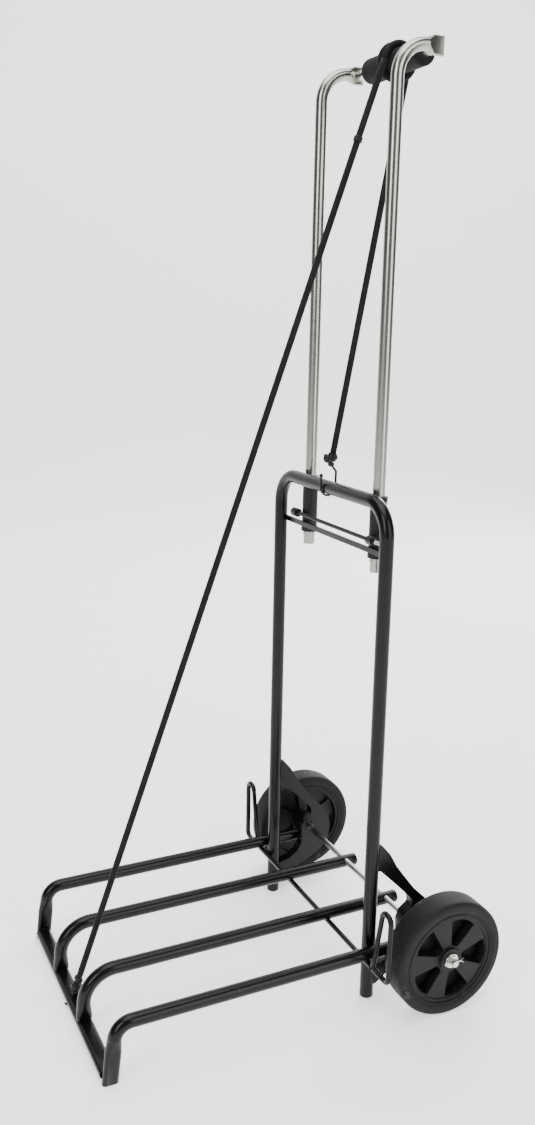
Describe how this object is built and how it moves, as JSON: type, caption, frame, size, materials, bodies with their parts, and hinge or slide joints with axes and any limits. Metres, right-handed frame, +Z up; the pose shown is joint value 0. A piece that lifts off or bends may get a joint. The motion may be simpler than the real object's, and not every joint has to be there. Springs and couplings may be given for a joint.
{
  "type": "folding luggage cart",
  "caption": "Two-wheel folding luggage cart: fold-flat rail platform, telescopic handle and an elastic cord with hooks.",
  "frame": {"origin": "on the ground, at the middle of the cart's footprint", "axes": "+Z up, -Y to the front where the platform reaches out, +X to the side; the cart is symmetric in X"},
  "size_m": [0.384, 0.4393, 1.004],
  "materials": {
    "black_paint": "satin black powder coat",
    "chrome": "bright chrome plate",
    "zinc": "zinc plate",
    "black_plastic": "moulded, matte",
    "wheel_plastic": "moulded, fine texture",
    "grip_rubber": "soft foam rubber, matte",
    "tyre_rubber": "solid rubber, matte",
    "cord_braid": "braided cover",
    "hook_wire": "black dipped wire"
  },
  "bodies": {
    "frame": {"upright_frame": "black_paint", "leg_tip_left": "black_plastic", "leg_tip_right": "black_plastic", "lock_strap": "black_paint", "sleeve_left": "black_paint", "sleeve_right": "black_paint", "bush_upper_left": "black_plastic", "bush_upper_right": "black_plastic", "bush_lower_left": "black_plastic", "bush_lower_right": "black_plastic", "axle_bracket_left": "black_paint", "axle_bracket_right": "black_paint", "bracket_rivets": "zinc", "axle": "zinc", "axle_spacers": "black_plastic", "axle_washers": "zinc", "split_pins": "zinc", "hook_rod": "black_paint", "lock_spring_right": "zinc", "rear_hook": "hook_wire"},
    "platform": {"outer_rail_left": "black_paint", "outer_rail_right": "black_paint", "inner_rail_left": "black_paint", "inner_rail_right": "black_paint", "front_bar": "black_paint", "rail_plug_outer_left": "black_plastic", "rail_plug_outer_right": "black_plastic", "rail_plug_inner_left": "black_plastic", "rail_plug_inner_right": "black_plastic", "rail_rivets": "zinc", "front_hook": "hook_wire", "front_hook_cap": "black_plastic"},
    "handle": {"handle_tube_left": "chrome", "handle_tube_right": "chrome", "tube_stop_left": "zinc", "tube_stop_right": "zinc", "grip": "grip_rubber", "grip_bolt": "zinc", "grip_spacers": "zinc", "grip_nut": "zinc", "cord_wrap": "cord_braid"},
    "lock": {"release_rod": "black_paint", "lock_knob_left": "black_plastic", "lock_knob_right": "black_plastic"},
    "wheel_left": {"wheel_rim_left": "wheel_plastic", "tyre_left": "tyre_rubber", "wheel_bush_left": "black_plastic"},
    "wheel_right": {"wheel_rim_right": "wheel_plastic", "tyre_right": "tyre_rubber", "wheel_bush_right": "black_plastic"},
    "cord_upper_run": {"cord_start": "cord_braid", "cord_front_upper": "cord_braid", "cord_band": "black_plastic"},
    "cord_lower_run": {"cord_crimp": "black_plastic", "cord_front_lower": "cord_braid"},
    "cord_rear_run": {"cord_rear": "cord_braid", "rear_hook_cap": "black_plastic"}
  },
  "joints": [
    {"name": "platform_fold", "type": "hinge", "parent": "frame", "child": "platform", "pos_m": [0, 0.15325, 0.0655], "axis": [-1, 0, 0], "range_deg": [0, 86.5], "deforming": ["cord_front_upper", "cord_band"]},
    {"name": "handle_slide", "type": "slide", "parent": "frame", "child": "handle", "axis": [0, 0, -1], "range_m": [0, 0.34], "deforming": ["cord_front_lower", "cord_rear"]},
    {"name": "lock_release", "type": "slide", "parent": "frame", "child": "lock", "axis": [0, -1, 0], "range_m": [0, 0.0035], "stiffness_N_per_m": 400},
    {"name": "wheel_left_spin", "type": "hinge", "parent": "frame", "child": "wheel_left", "pos_m": [-0.168, 0.15325, 0.0655], "axis": [1, 0, 0], "continuous": true},
    {"name": "wheel_right_spin", "type": "hinge", "parent": "frame", "child": "wheel_right", "pos_m": [0.168, 0.15325, 0.0655], "axis": [1, 0, 0], "continuous": true},
    {"name": "cord_top_swing", "type": "hinge", "parent": "handle", "child": "cord_upper_run", "pos_m": [0, 0.13445, 0.9895], "axis": [-1, 0, 0], "range_deg": [0, 11.3]},
    {"name": "cord_foot_swing", "type": "hinge", "parent": "platform", "child": "cord_lower_run", "pos_m": [0, -0.20435, 0.0299], "axis": [-1, 0, 0], "range_deg": [-102.1, 0]},
    {"name": "cord_rear_slide", "type": "hinge", "parent": "frame", "child": "cord_rear_run", "pos_m": [0, 0.09175, 0.575], "axis": [-1, 0, 0], "range_deg": [0, 38.2]}
  ],
  "couplings": [
    {"joint": "cord_top_swing", "follows": "handle_slide", "rad_per_m": 0.57946},
    {"joint": "cord_foot_swing", "follows": "platform_fold", "ratio": -1.1792},
    {"joint": "cord_rear_slide", "follows": "handle_slide", "rad_per_m": 1.959}
  ]
}
